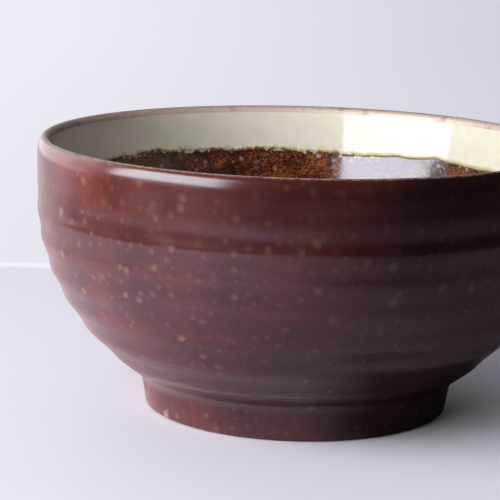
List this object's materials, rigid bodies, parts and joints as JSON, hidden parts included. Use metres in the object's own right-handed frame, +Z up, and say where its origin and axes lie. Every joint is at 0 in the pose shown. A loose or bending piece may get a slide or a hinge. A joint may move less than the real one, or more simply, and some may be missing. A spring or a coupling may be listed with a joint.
{
  "type": "salad bowl",
  "caption": "Thrown stoneware salad bowl on a foot ring, with throwing rings outside, a rounded lip and a cream glaze band over a brown glazed well; holds and serves food.",
  "frame": {"origin": "middle of the foot, on the table", "axes": "+Z up along the bowl's axis of turning"},
  "size_m": [0.2, 0.2, 0.103],
  "materials": {
    "stoneware_clay": "fired, unglazed, matt",
    "iron_red_glaze": "satin, speckled",
    "thin_lip_glaze": "satin, broken to tan",
    "cream_glaze": "glossy",
    "rust_glaze": "glossy, mottled"
  },
  "bodies": {
    "root": {"clay_bowl": "stoneware_clay", "foot_ring": "stoneware_clay", "outer_glaze": "iron_red_glaze", "lip_glaze": "thin_lip_glaze", "cream_glaze": "cream_glaze", "well_glaze": "rust_glaze", "recess_glaze": "iron_red_glaze"}
  },
  "joints": []
}
